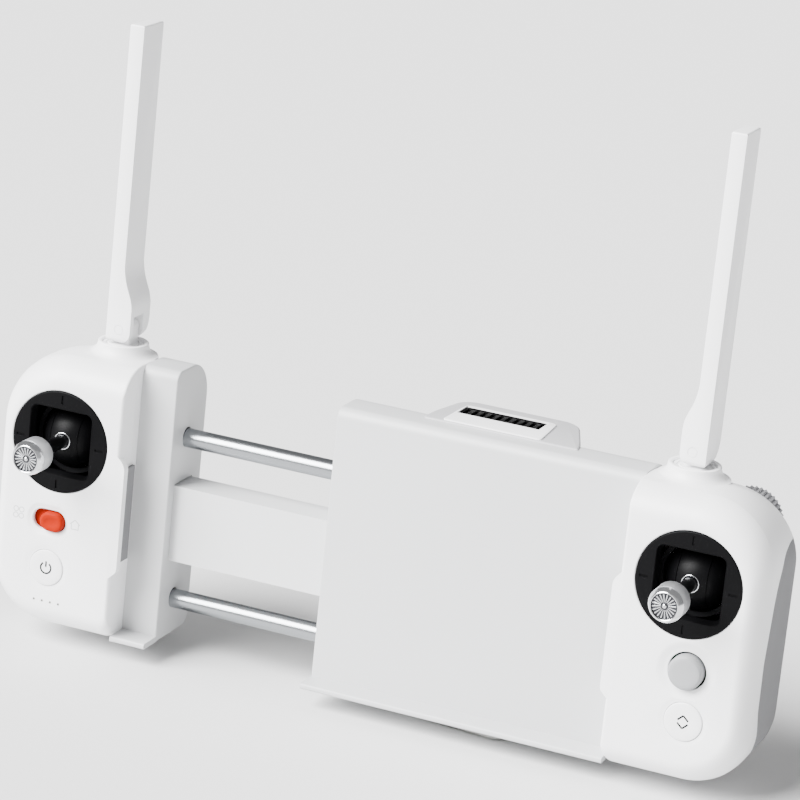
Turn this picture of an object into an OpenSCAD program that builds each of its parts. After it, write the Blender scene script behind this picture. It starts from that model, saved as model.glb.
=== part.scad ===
// Handheld radio transmitter with a phone clamp between two grips.
// Design frame: X across, Y towards the back, Z up. Its zero is the middle of the phone's front face.
// datum() moves that frame so that the part stands on Z = 0 and is centred over X and Y.

/* [Body] */
// Width over both grips with the clamp open round a phone
open_w = 245.4; // [244:0.2:247]
// Depth of a grip, front face to palm face
grip_d = 46.4; // [45.6:0.1:47]
// Wall of the moulded shells
wall = 2; // [1.7:0.1:2.2]

/* [Phone bay] */
// Width between the walls of the two grips
bay_w = 160.4; // [160:0.2:161]
// Depth of the bay behind the phone's front face
bay_d = 8.8; // [8.4:0.1:9.2]
// Thickness of the ledge under the phone
ledge_t = 1.8; // [1.5:0.1:2]
// Left end of the bridge, from the middle of the bay
bridge_end = -16; // [-18:0.5:-14]
// Right end of the left grip's sleeve, from the middle of the bay
sleeve_end = -68.5; // [-69:0.5:-66]

/* [Sticks] */
// Distance of each stick from the middle
stick_x = 100.5; // [100:0.1:101]
// Height of each stick above the middle of the phone
stick_z = 21.1; // [20.6:0.1:21.6]
// Radius of the black disc round a stick
bezel_r = 15.9; // [15.6:0.1:16]
// Radius of the dome that covers the gimbal
dome_r = 10; // [9.8:0.1:10.1]
// Reach of the stick from the disc to the tip of its cap
stick_reach = 21.7; // [20:0.1:23]
// Radius of the cap
cap_r = 5.25; // [5:0.05:5.5]

/* [Buttons] */
// Distance of the mode slider from the middle
slider_x = 103.7; // [102:0.1:104]
// Distance of the power button from the middle
power_x = 101.9; // [101:0.1:102.5]
// Distance of the five-way button from the middle
five_way_x = 103.1; // [102.5:0.1:103.5]
// Distance of the function button from the middle
function_x = 104; // [102.5:0.1:104.4]
// Height of the upper control below the middle of the phone
upper_z = -4.5; // [-5:0.1:-4.2]
// Height of the lower button below the middle of the phone
lower_z = -19.6; // [-20.5:0.1:-19]
// Radius of the power button
power_r = 5.7; // [5.4:0.1:5.9]
// Radius of the function button
function_r = 5.8; // [5.4:0.1:5.9]
// Radius of the five-way button
five_way_r = 5.15; // [5:0.05:5.2]

/* [Antennas] */
// Distance of each antenna's pin from the middle
antenna_x = 92; // [91.6:0.1:92.4]
// Depth of the middle of the antenna's turret
antenna_y = 18; // [17.6:0.1:18.4]
// Height of the fold pin
pin_z = 54.3; // [54.2:0.1:54.6]
// Height of the antenna's tip
tip_z = 148.6; // [140:0.2:152]
// Width of the blade across X
blade_w = 4.6; // [4.2:0.1:5]
// Depth of the blade along Y
blade_d = 13; // [12.6:0.1:13.4]

/* [Dials] */
// Distance of each dial's axle from the middle
dial_x = 106.4; // [106.2:0.1:106.6]
// Height of each dial's axle
dial_z = 32.9; // [32.7:0.1:33.1]
// Radius over the teeth of a dial
dial_r = 9.5; // [9.3:0.1:9.6]
// Number of teeth round a dial
dial_teeth = 38; // [30:1:40]

/* [Rear hump] */
// Left side of the hump where it meets the bridge
hump_x0 = 8; // [7:0.5:9]
// Right side of the hump where it meets the bridge
hump_x1 = 57; // [56:0.5:58]
// Height of the hump's flat top
hump_top = 46.9; // [46.8:0.1:47.2]
// Number of slats in the vent
slats = 10; // [8:1:12]

/* [Hidden] */

$fn = 48;
e = 0.01;                        // overshoot of a cut past a face
shell_white = "#f2f2f3";
pad_grey = "#b4b4b6";
black = "#1a1a1c";
alloy = "#c9c9cc";
steel = "#a8adb3";

z_bot = -40;                     // underside of the grips
z_top = 46.4;                    // top of the grips
y_front = -3;                    // front face of the grips
y_back = y_front + grip_d;
y_split = 5.5;                   // seam between front and rear shells
scoop_drop = 5.5;                // how far the scoop hangs below the grips
inner_x = bay_w / 2;
outer_x = open_w / 2;
bezel_y = y_front - 0.3;
cap_y = bezel_y - stick_reach;   // tip of a stick's cap
y_middle = (y_back + cap_y) / 2;
collar_top = 50;

pad_t = 0.8;                     // thickness of the side pads
screw_x = inner_x + 4.6;
screw_z = [-33, 36];
seat_y = 34;                     // seat of a case screw's head

top_r = 21;                      // outer corners of a grip, seen from the front
bottom_r = 18;
inner_r = 3;
slice_t = 0.3;                   // thickness of each disc that a grip is hulled from
// Cross sections of a grip from front to back: [y, thickness, how far the sides are drawn in, and the top]
sections = [[y_front, slice_t, 5.5, 8.2], [y_front + 1.2, slice_t, 3.3, 4.9],
            [y_front + 4, slice_t, 1.6, 2.4], [y_front + 8, slice_t, 0.4, 0.6], [8, 6, 0, 0],
            [24, slice_t, 0, 1.6], [28, slice_t, 0.3, 3], [35, slice_t, 2.5, 6.7],
            [y_back - 3, slice_t, 7, 11.5], [y_back - slice_t, slice_t, 14, 19]];

function arc(cx, cy, r, a0, a1, n) = [for (i = [0:n]) let (a = a0 + (a1 - a0) * i / n)
    [cx + r * cos(a), cy + r * sin(a)]];

module datum() translate([0, -y_middle, -z_bot + scoop_drop]) children();
module right_side() datum() children();
module left_side() datum() mirror([1, 0, 0]) children();
module along_y(x, y, z) translate([x, y, z]) rotate([-90, 0, 0]) children();
module rod_y(x, z, r, y0, y1) along_y(x, y0, z) cylinder(r = r, h = y1 - y0);

// ---- grips ----

module section(y, t, inset, roof_inset, thin) {
    g = thin + inset;
    roof = z_top - thin - roof_inset;
    low_r = max(bottom_r - g, inner_r);
    high_r = max(top_r - g, inner_r);
    for (c = [[inner_x + thin + inner_r, z_bot + g + inner_r, inner_r],
              [inner_x + thin + inner_r, roof - inner_r, inner_r],
              [outer_x - g - low_r, z_bot + g + low_r, low_r],
              [outer_x - g - high_r, roof - high_r, high_r]])
        rod_y(c[0], c[1], c[2], y, y + t, $fn = 32);
}

// One grip as a solid; thin draws every wall in by that much
module grip_solid(thin = 0) {
    hull() for (s = sections)
        section(s[0] + (s[0] > 20 ? -thin : s[0] < 0 ? thin : 0), s[1], s[2], s[3], thin);
}

module front_half() translate([0, y_front - 10, -100]) cube([200, y_split - y_front + 10, 200]);
module rear_half() translate([0, y_split, -100]) cube([200, 60, 200]);

module stick_hole() rod_y(stick_x, stick_z, bezel_r + 0.1, y_front - 1, y_front + 4);

// Lip that holds the phone's edge from the front, as [x, z]
lip = [[inner_x + 0.5, -19], [inner_x, -19], [inner_x - 2, -16],
       [inner_x - 2, 17], [inner_x, 20], [inner_x + 0.5, 20]];

module front_shell() {
    difference() {
        union() {
            difference() {
                intersection() { grip_solid(); front_half(); }
                grip_solid(wall);
            }
            for (z = screw_z) rod_y(screw_x, z, 1.9, y_front + wall - 0.5, seat_y - 10);
            translate([0, -0.4, 0]) rotate([90, 0, 0]) linear_extrude(-y_front - 0.4) polygon(lip);
        }
        for (z = screw_z) rod_y(screw_x, z, 1.15, seat_y - 22.5, seat_y - 9);
        stick_hole();
        children();
    }
}

dial_y = 32.5;                   // middle of the dial's width
dial_w = 7;

module dial_bracket(y) translate([dial_x - 3.5, y, dial_z - 3]) cube([7, 1.6, 14]);

module rear_shell() {
    turret_hole_r = 6.46;
    collar_z = z_top - 3.4;      // the collar starts below the roof, which falls away behind it
    difference() {
        union() {
            difference() {
                intersection() { grip_solid(); rear_half(); }
                grip_solid(wall);
            }
            translate([antenna_x, antenna_y, collar_z]) cylinder(r = 7.9, h = collar_top - collar_z);
            translate([antenna_x, antenna_y, collar_z]) cylinder(r1 = 11, r2 = 7.8, h = 5);
            intersection() {
                union() {
                    dial_bracket(dial_y - dial_w / 2 - 2.2);
                    dial_bracket(dial_y + dial_w / 2 + 0.6);
                    for (z = screw_z) rod_y(screw_x, z, 3, seat_y - 9.8, y_back);
                }
                grip_solid();
            }
        }
        translate([antenna_x, antenna_y, collar_z - 1]) cylinder(r = turret_hole_r, h = 12);
        rod_y(dial_x, dial_z, dial_r + 0.5, dial_y - dial_w / 2 - 0.5, dial_y + dial_w / 2 + 0.5);
        rod_y(dial_x, dial_z, 1.52, dial_y - 8, dial_y + 8);
        for (z = screw_z) {
            rod_y(screw_x, z, 1.2, seat_y - 11, seat_y + 1);
            rod_y(screw_x, z, 2.3, seat_y, y_back + 1);
        }
        difference() {
            pad_block();
            grip_solid(pad_t);
        }
        children();
    }
}

module case_screws() for (z = screw_z) {
    rod_y(screw_x, z, 2, seat_y, seat_y + 1.6);
    rod_y(screw_x, z, 1.1, seat_y - 21, seat_y);
}

// Outline of the side pad as [y, z], and the block that it is cut from
pad_edge = [[34, -34.5], [34, 31], [20, 31], [13.5, 27.5], [9.2, 14],
            [7.5, -1.5], [8, -16], [11, -27.5], [16, -33]];
module pad_block() translate([outer_x - 16, 0, 0])
    rotate([90, 0, 90]) linear_extrude(20) polygon(pad_edge);

// The rubber skin let into the outer side of the rear shell
module side_pad() difference() {
    intersection() { pad_block(); grip_solid(); }
    grip_solid(pad_t);
}

module bay_pad() translate([inner_x - 1, 0.5, -14]) cube([1, 6, 30]);

module board(x0, x1, z0, z1) translate([x0, 3.4, z0]) cube([x1 - x0, 1.6, z1 - z0]);

// ---- sticks ----

gimbal_y = 8.3;                  // depth of the stick's centre of rotation
cap_len = 8;
bezel_t = 2.9;                   // thickness of the black disc
shaft_r = 2.1;

module rounded_square(side, r, h) {
    // square prism along Z with round corners
    linear_extrude(h) union() {
        square([side - 2 * r, side], center = true);
        square([side, side - 2 * r], center = true);
        for (x = [-1, 1], z = [-1, 1]) translate([x * (side / 2 - r), z * (side / 2 - r)]) circle(r);
    }
}

module stick_bezel() {
    tick = 3;
    color(black) difference() {
        rod_y(stick_x, stick_z, bezel_r, bezel_y, bezel_y + bezel_t);
        along_y(stick_x, bezel_y - 1, stick_z) rounded_square(21, 3.5, 5);
        for (a = [0:90:270]) translate([stick_x, bezel_y, stick_z]) rotate([0, a, 0])
            translate([-0.35, -e, bezel_r - 1 - tick]) cube([0.7, 0.4, tick]);
    }
}

module gimbal_frame() {
    outer = 28.4;
    inner = 25.6;
    color("#2b2b2e") difference() {
        along_y(stick_x, bezel_y + bezel_t, stick_z) rounded_square(outer, 7.8, 13.4);
        along_y(stick_x, y_front, stick_z) rounded_square(inner, 6.6, 20);
        translate([stick_x, gimbal_y, stick_z - 20]) cylinder(r = 1.25, h = 40);
    }
}

ring_r = 11.8;
module gimbal_ring() {
    color("#3a3a3e") {
        difference() {
            rod_y(stick_x, stick_z, ring_r, gimbal_y - 2.5, gimbal_y + 2.5);
            rod_y(stick_x, stick_z, dome_r + 0.4, gimbal_y - 3, gimbal_y + 3);
            translate([stick_x - 20, gimbal_y, stick_z]) rotate([0, 90, 0]) cylinder(r = 1, h = 40);
        }
        for (m = [0, 1]) translate([stick_x, gimbal_y, stick_z]) mirror([0, 0, m])
            translate([0, 0, ring_r - 0.6]) cylinder(r = 1.2, h = 3);
    }
}

module stick_dome() {
    color(black) {
        along_y(stick_x, gimbal_y, stick_z) rotate_extrude() polygon(concat(
            arc(0, 0, dome_r, -90 + asin((shaft_r + 0.03) / dome_r), 24, 14),
            arc(0, 0, dome_r - 1.6, 24, -90 + asin((shaft_r + 0.03) / (dome_r - 1.6)), 14)));
        for (m = [0, 1]) translate([stick_x, gimbal_y, stick_z]) mirror([m, 0, 0])
            translate([dome_r - 1, 0, 0]) rotate([0, 90, 0]) cylinder(r = 0.95, h = 2.6);
    }
}

module stick_shaft() color("#6d6d70") {
    rod_y(stick_x, stick_z, shaft_r, cap_y + 3.2, gimbal_y - 4);
    rod_y(stick_x, stick_z, 3.2, gimbal_y - 7.7, gimbal_y - 4);
}

module stick_cap() color(alloy) difference() {
    union() {
        rod_y(stick_x, stick_z, cap_r, cap_y + 0.8, cap_y + cap_len);
        along_y(stick_x, cap_y, stick_z) cylinder(r1 = cap_r - 0.7, r2 = cap_r, h = 0.8);
    }
    rod_y(stick_x, stick_z, cap_r - 0.8, cap_y - 1, cap_y + 1.2);
    rod_y(stick_x, stick_z, shaft_r + 0.02, cap_y, cap_y + cap_len + 1);
}

ridges = 20;
module cap_insert() color("#dcdcde") {
    rod_y(stick_x, stick_z, cap_r - 0.85, cap_y + 0.5, cap_y + 1.2);
    for (i = [0:ridges - 1]) translate([stick_x, cap_y + 0.1, stick_z]) rotate([0, i * 360 / ridges, 0])
        translate([-0.2, 0, 1]) cube([0.4, 0.5, cap_r - 2.2]);
    rod_y(stick_x, stick_z, 0.6, cap_y + 0.1, cap_y + 0.6);
}

// ---- antennas ----

blade_out = antenna_x + 4.2;     // outer face of the blade
foot_in = antenna_x - 3.8;       // inner face of the foot
blade_y = 13.7;
foot_z = pin_z - 2.7;
tongue_y0 = 16.2;
tongue_y1 = 22.2;
tongue_r = 2.7;
pin_r = 1.2;

module antenna_turret() color(shell_white) {
    flange_z = z_top - 6.8;
    translate([antenna_x, antenna_y, flange_z]) cylinder(r = 7.3, h = 2);
    translate([antenna_x, antenna_y, flange_z + 1]) cylinder(r = 6.4, h = collar_top - 1.6 - flange_z);
    difference() {
        union() {
            translate([antenna_x - tongue_r, tongue_y0, z_top + 2])
                cube([2 * tongue_r, tongue_y1 - tongue_y0, pin_z - z_top - 2]);
            rod_y(antenna_x, pin_z, tongue_r, tongue_y0, tongue_y1);
        }
        rod_y(antenna_x, pin_z, pin_r + 0.01, tongue_y0 - 1, tongue_y1 + 1);
    }
}

module antenna_pin() color(steel) rod_y(antenna_x, pin_z, pin_r, blade_y + 0.7, blade_y + blade_d - 1);

module antenna_blade() color(shell_white) difference() {
    union() {
        translate([0, blade_y + blade_d, 0]) rotate([90, 0, 0]) linear_extrude(blade_d)
            polygon([[antenna_x, foot_z], [blade_out, foot_z], [blade_out, tip_z - 0.8],
                     [blade_out - 0.8, tip_z], [blade_out - blade_w + 0.6, tip_z],
                     [blade_out - blade_w, tip_z - 0.6],
                     [blade_out - blade_w, pin_z + 17], [foot_in, pin_z + 8.5], [foot_in, pin_z],
                     [antenna_x, pin_z]]);
        rod_y(antenna_x, pin_z, antenna_x - foot_in, blade_y, blade_y + blade_d);
    }
    translate([foot_in - 5, tongue_y0 - 0.3, foot_z - 5])
        cube([5 + antenna_x + 3 - foot_in, tongue_y1 - tongue_y0 + 0.6, pin_z + 4.2 - foot_z + 5]);
    rod_y(antenna_x, pin_z, pin_r + 0.05, blade_y - 1, blade_y + blade_d + 1);
    // the lower rear corner of the foot is cut back over the collar
    translate([foot_in - 5, blade_y + blade_d, foot_z - 3]) rotate([45, 0, 0]) cube([20, 5, 5]);
}

// ---- dials ----

module dial() color("#8d8d90") difference() {
    along_y(dial_x, dial_y - dial_w / 2, dial_z) linear_extrude(dial_w)
        polygon([for (i = [0:2 * dial_teeth - 1])
            let (a = 180 * i / dial_teeth, r = dial_r - 0.9 * (i % 2)) [r * cos(a), r * sin(a)]]);
    rod_y(dial_x, dial_z, 1.55, dial_y - 10, dial_y + 10);
}

module dial_axle() color(steel)
    rod_y(dial_x, dial_z, 1.5, dial_y - dial_w / 2 - 2.2, dial_y + dial_w / 2 + 2.2);

// ---- front controls ----

slider_w = 7.9;
slider_h = 5.9;
slider_travel = 2.8;
slot_w = slider_w + slider_travel + 0.4;
slot_h = 6.6;

// Straight slot or bar with round ends, lying along X
module slot_y(x0, x1, z, h, y0, y1) {
    rod_y(x0 + h / 2, z, h / 2, y0, y1);
    rod_y(x1 - h / 2, z, h / 2, y0, y1);
    translate([x0 + h / 2, y0, z - h / 2]) cube([x1 - x0 - h, y1 - y0, h]);
}

// The slider's slot is given in the left grip's own mirrored X, so its rest end is the inner one
slot_in = slider_x - slot_w / 2;
module mode_slider() color("#f0492a") {
    slot_y(slot_in + 0.2, slot_in + 0.2 + slider_w, upper_z, slider_h, y_front - 1.3, y_front + wall + 0.3);
    translate([slot_in - slider_travel - 0.4, y_front + wall + 0.3, upper_z - 4.2])
        cube([slot_w + slider_travel + 0.8, 1.2, 8.4]);
}

module push_button(x, r, tint) color(tint) {
    rod_y(x, lower_z, r, y_front - 0.2, y_front + wall + 0.3);
    rod_y(x, lower_z, r + 1, y_front + wall + 0.3, y_front + wall + 1.4);
    rod_y(x, lower_z, 1.2, y_front + wall + 1.4, 2.5);
}

light_x = [for (i = [0:3]) 96.8 + 2.8 * i];
light_z = -30.4;
module charge_lights() color("#e8e8ea") for (x = light_x)
    rod_y(x, light_z, 0.4, y_front + 0.4, y_front + 3.6);

module five_way_switch() color(black) difference() {
    translate([five_way_x - 4, 0, upper_z - 4]) cube([8, 3.4, 8]);
    rod_y(five_way_x, upper_z, 2.2, -1, 3);
}
module five_way_plunger() color(steel) {
    rod_y(five_way_x, upper_z, 2.1, -0.4, 2.4);
    rod_y(five_way_x, upper_z, 0.8, -2.6, -0.4);
}
module five_way_cradle() color(steel) difference() {
    rod_y(five_way_x, upper_z, 2, -2.4, -1.5);
    rod_y(five_way_x, upper_z, 1, -3, -1);
}
module five_way_cap() color("#c4c4c6") {
    difference() {
        union() {
            rod_y(five_way_x, upper_z, five_way_r, y_front - 1.4, y_front + 1.8);
            along_y(five_way_x, y_front - 2, upper_z)
                cylinder(r1 = five_way_r - 0.6, r2 = five_way_r, h = 0.6);
        }
        rod_y(five_way_x, upper_z, 2.6, -2.8, 0);
    }
}

// ---- clamp and bridge ----

rod_r = 3;
rod_y0 = 19;
rod_z = [-28, 24];
tongue_z = [-14, 10];
bridge_back = 31.2;

// Side profile of the sleeve and the bridge as [y, z], drawn in by g on every side
function bar_profile(g) = concat(
    [[bay_d + g, z_bot + g], [bridge_back - 3, z_bot + g]], [[bridge_back - g, z_bot + 3]],
    arc(19.7, 34.9, 11.5 - g, 0, 90, 8), arc(12, 43.2, 3.2 - g, 90, 180, 4));

module bar(x0, x1, g = 0) translate([x0, 0, 0])
    rotate([90, 0, 90]) linear_extrude(x1 - x0) polygon(bar_profile(g));
module ledge(x0, x1) translate([x0, 0.5, z_bot]) cube([x1 - x0, bay_d, ledge_t]);

module rods(r, x0, x1) for (z = rod_z) translate([x0, rod_y0, z])
    rotate([0, 90, 0]) cylinder(r = r, h = x1 - x0);
module tongue(x0, x1, g = 0) translate([x0, 13 - g, tongue_z[0] - g])
    cube([x1 - x0, 12 + 2 * g, tongue_z[1] - tongue_z[0] + 2 * g]);

module left_sleeve() color(shell_white) datum() {
    difference() {
        bar(-inner_x, sleeve_end);
        bar(-inner_x - 1, sleeve_end - wall, wall);
        rods(rod_r + 0.02, -inner_x - 1, sleeve_end + 1);
        tongue(-inner_x, sleeve_end + 1, 0.02);
    }
    ledge(-inner_x, sleeve_end);
}

module bridge_shell() color(shell_white) datum() {
    difference() {
        bar(bridge_end, inner_x);
        bar(bridge_end + wall, inner_x + 1, wall);
        rods(4.5, bridge_end - 1, bridge_end + wall + 1);
        tongue(bridge_end - 1, bridge_end + wall + 1, 0.4);
    }
    ledge(bridge_end, inner_x);
}

module guide_rods() color(steel) datum() rods(rod_r, -inner_x + 1, 22);
module rod_bushes() color("#e8e4d8") datum() difference() {
    rods(4.45, bridge_end, bridge_end + 8);
    rods(rod_r + 0.06, bridge_end - 1, bridge_end + 9);
}
module cable_tongue() color("#d6d6d8") datum() difference() {
    tongue(-inner_x + 1, 16);
    translate([-inner_x, 15, tongue_z[0] + 2]) cube([100, 8, tongue_z[1] - tongue_z[0] - 4]);
}
module clamp_springs() color(steel) datum() for (z = [rod_z[0] + 8, rod_z[1] - 8])
    translate([bridge_end + 4, rod_y0, z]) rotate([0, 90, 0]) difference() {
        cylinder(r = 2, h = 46);
        translate([0, 0, -1]) cylinder(r = 1.3, h = 50);
    }
module main_board() color("#2e6b46") datum() translate([-8, 26.6, -32]) cube([80, 1.6, 66]);

// ---- rear hump ----

hump_back = y_back - 1.4;
// Plan of the hump as [x, y], drawn in by g
function hump_plan(g) = [[hump_x0 + g, 17], [hump_x1 - g, 17], [hump_x1 - 1 - g, 22],
                         [48.5 - g, hump_back - g], [hump_x0 + 3.5 + g, hump_back - g],
                         [hump_x0 + g, 24]];

vent_x0 = 15;
vent_x1 = 41;
vent_y0 = 26.5;
vent_y1 = 35;

module vent_box(g, z0, z1) translate([vent_x0 - g, vent_y0 - g, z0])
    cube([vent_x1 - vent_x0 + 2 * g, vent_y1 - vent_y0 + 2 * g, z1 - z0]);

module hump_cover() color("#d9d9db") datum() difference() {
    translate([0, 0, z_bot]) linear_extrude(hump_top - z_bot) polygon(hump_plan(0));
    translate([0, 0, z_bot + wall]) linear_extrude(hump_top - z_bot - 2 * wall) polygon(hump_plan(wall));
    bar(-5, 70);
    vent_box(1, hump_top - 4, hump_top + 1);
}

module vent_frame() color(shell_white) datum() difference() {
    translate([14, 17.5, hump_top]) cube([31, 18.5, 0.4]);
    vent_box(0, hump_top - 1, hump_top + 1);
}

module vent_grille() color(black) datum() difference() {
    vent_box(0.9, hump_top - 1.8, hump_top - 0.3);
    gap = (vent_x1 - vent_x0) / slats;
    for (i = [0:slats - 1]) translate([vent_x0 + (i + 0.25) * gap, vent_y0 + 0.6, hump_top - 5])
        cube([gap * 0.5, vent_y1 - vent_y0 - 1.2, 10]);
}

module heat_sink() color(alloy) datum() {
    translate([14, bridge_back + 0.2, -30]) cube([32, 1.6, 70]);
    for (i = [0:7]) translate([15 + i * 4.2, bridge_back + 1.8, -30]) cube([1, 5, 70]);
}

// Lip and floor of the air scoop that hangs under the hump
scoop_x0 = 8;
scoop_x1 = 46;
scoop_r = 5;
module scoop_plan(g) {
    y0 = 11;
    translate([scoop_x0 + g, y0 + 5]) square([10, hump_back - y0 - 5 - g]);
    translate([scoop_x1 - scoop_r, y0 + scoop_r]) circle(scoop_r - g);
    polygon([[scoop_x0 + g, y0 + 5 + g], [scoop_x1 - scoop_r, y0 + g], [scoop_x1 - scoop_r, hump_back - g],
             [scoop_x0 + g, hump_back - g]]);
    translate([scoop_x1 - scoop_r - 2, y0 + scoop_r])
        square([scoop_r + 2 - g, hump_back - y0 - scoop_r - g]);
}
module lower_scoop() color("#b9b9b6") datum() {
    difference() {
        translate([0, 0, z_bot - scoop_drop]) linear_extrude(3) scoop_plan(0);
        translate([0, 0, z_bot - scoop_drop + 1.4]) linear_extrude(4) scoop_plan(1.6);
    }
    translate([scoop_x0, bridge_back, z_bot - scoop_drop + 2]) cube([1.8, 9, scoop_drop - 2]);
    translate([scoop_x1 - 1.8, bridge_back, z_bot - scoop_drop + 2]) cube([1.8, 9, scoop_drop - 2]);
    translate([scoop_x0, hump_back - 1.8, z_bot - scoop_drop + 2])
        cube([scoop_x1 - scoop_x0, 1.8, scoop_drop - 2]);
}

// ---- inside the grips ----

module battery_pack() color("#3c6ea8") left_side() translate([88, 12, -33]) cube([23, 17, 36]);
module usb_socket() color(steel) right_side() difference() {
    translate([98, 14, z_bot + 0.2]) cube([9, 3.4, 7]);
    translate([98.6, 14.6, z_bot - 1]) cube([7.8, 2.2, 6]);
}

// ---- nodes, left and right ----

module right_front_shell() color(shell_white) right_side() front_shell() {
    rod_y(five_way_x, upper_z, five_way_r + 0.75, y_front - 1, y_front + 4);
    rod_y(function_x, lower_z, function_r + 0.12, y_front - 1, y_front + 4);
}
module left_front_shell() color(shell_white) left_side() front_shell() {
    slot_y(slot_in, slot_in + slot_w, upper_z, slot_h, y_front - 1, y_front + 4);
    rod_y(power_x, lower_z, power_r + 0.12, y_front - 1, y_front + 4);
    for (x = light_x) rod_y(x, light_z, 0.42, y_front - 1, y_front + 4);
}
module right_rear_shell() color(shell_white) right_side() rear_shell()
    translate([97.8, 13.8, z_bot - 1]) cube([9.4, 3.8, wall + 2]);
module left_rear_shell() color(shell_white) left_side() rear_shell();

right_front_shell();
right_rear_shell();
color(pad_grey) right_side() side_pad();  // right_side_pad
right_side() stick_bezel();  // right_stick_bezel
right_side() gimbal_frame();  // right_gimbal_frame
right_side() gimbal_ring();  // right_gimbal_ring
right_side() stick_dome();  // right_stick_dome
right_side() stick_shaft();  // right_stick_shaft
right_side() stick_cap();  // right_stick_cap
right_side() cap_insert();  // right_cap_insert
right_side() dial();  // right_dial
right_side() dial_axle();  // right_dial_axle
right_side() antenna_turret();  // right_antenna_turret
right_side() antenna_pin();  // right_antenna_pin
right_side() antenna_blade();  // right_antenna_blade
color("#2e6b46") right_side() board(84, 112, -30, 4);  // right_board
color(steel) right_side() case_screws();  // right_case_screws
color(pad_grey) right_side() bay_pad();  // right_bay_pad
left_front_shell();
left_rear_shell();
color(pad_grey) left_side() side_pad();  // left_side_pad
left_side() stick_bezel();  // left_stick_bezel
left_side() gimbal_frame();  // left_gimbal_frame
left_side() gimbal_ring();  // left_gimbal_ring
left_side() stick_dome();  // left_stick_dome
left_side() stick_shaft();  // left_stick_shaft
left_side() stick_cap();  // left_stick_cap
left_side() cap_insert();  // left_cap_insert
left_side() dial();  // left_dial
left_side() dial_axle();  // left_dial_axle
left_side() antenna_turret();  // left_antenna_turret
left_side() antenna_pin();  // left_antenna_pin
left_side() antenna_blade();  // left_antenna_blade
color("#2e6b46") left_side() board(84, 112, -30, 4);  // left_board
color(steel) left_side() case_screws();  // left_case_screws
color(pad_grey) left_side() bay_pad();  // left_bay_pad
left_sleeve();
guide_rods();
cable_tongue();
bridge_shell();
rod_bushes();
clamp_springs();
main_board();
hump_cover();
vent_frame();
vent_grille();
heat_sink();
lower_scoop();
battery_pack();
usb_socket();
left_side() mode_slider();
left_side() push_button(power_x, power_r, shell_white);  // power_button
left_side() charge_lights();
right_side() five_way_switch();
right_side() five_way_plunger();
right_side() five_way_cradle();
right_side() five_way_cap();
right_side() push_button(function_x, function_r, shell_white);  // function_button
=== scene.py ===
import math

import bmesh
import bpy
from mathutils import Matrix, Vector


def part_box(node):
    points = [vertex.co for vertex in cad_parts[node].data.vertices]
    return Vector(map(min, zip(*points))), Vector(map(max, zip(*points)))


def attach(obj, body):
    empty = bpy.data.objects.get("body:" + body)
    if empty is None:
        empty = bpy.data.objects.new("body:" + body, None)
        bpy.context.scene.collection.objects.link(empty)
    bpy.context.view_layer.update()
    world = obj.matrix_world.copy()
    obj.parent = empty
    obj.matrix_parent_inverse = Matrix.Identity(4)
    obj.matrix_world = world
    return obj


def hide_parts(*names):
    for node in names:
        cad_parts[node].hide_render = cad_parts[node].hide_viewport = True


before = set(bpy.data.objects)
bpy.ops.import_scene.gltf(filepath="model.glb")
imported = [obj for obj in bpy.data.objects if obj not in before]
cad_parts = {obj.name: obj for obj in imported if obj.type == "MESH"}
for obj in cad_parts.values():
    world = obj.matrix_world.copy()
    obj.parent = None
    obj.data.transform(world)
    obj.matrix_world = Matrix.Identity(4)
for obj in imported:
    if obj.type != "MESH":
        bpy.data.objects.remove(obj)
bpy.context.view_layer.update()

mm = 0.001
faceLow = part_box("right_front_shell")[0]
# The zero of the part's drawing: the middle of the phone's face, 3 mm behind the grips' faces
# and 40 mm above their undersides. Every measure below is in millimetres from here.
bayMiddle = Vector((0, faceLow.y + 3 * mm, faceLow.z + 40 * mm))
toFrame = Matrix.Translation(bayMiddle) @ Matrix.Scale(mm, 4)
sides = {"right": 1, "left": -1}
gripBody = {"right": "main_body", "left": "left_grip"}
print("frame loaded")


def boxMm(node):
    low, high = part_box(node)
    return (low - bayMiddle) / mm, (high - bayMiddle) / mm


def middleMm(node):
    low, high = boxMm(node)
    return (low + high) / 2


# ---- materials ----

def linear(hexCode):
    # sRGB hex to linear colour
    parts = [int(hexCode[i:i + 2], 16) / 255 for i in (1, 3, 5)]
    return [c / 12.92 if c <= 0.04045 else ((c + 0.055) / 1.055) ** 2.4 for c in parts] + [1]


def addNode(tree, kind, settings=None, inputs=None):
    node = tree.nodes.new(kind)
    for key, value in (settings or {}).items():
        setattr(node, key, value)
    for key, value in (inputs or {}).items():
        if isinstance(value, bpy.types.NodeSocket):
            tree.links.new(value, node.inputs[key])
        else:
            node.inputs[key].default_value = value
    return node


def perMetre(size):
    # pattern scale from a real size in mm, for a texture that reads metres
    return 1 / (size * mm)


def startMaterial(name, roughness, metallic=0.0, ior=1.5, gloss=0.5):
    material = bpy.data.materials.new(name)
    material.use_nodes = True
    tree = material.node_tree
    shader = tree.nodes["Principled BSDF"]
    shader.inputs["Roughness"].default_value = roughness
    shader.inputs["Metallic"].default_value = metallic
    if not metallic:
        shader.inputs["IOR"].default_value = ior
        shader.inputs["Specular IOR Level"].default_value = gloss
    place = addNode(tree, "ShaderNodeTexCoord").outputs["Object"]
    return material, tree, shader, place


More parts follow.
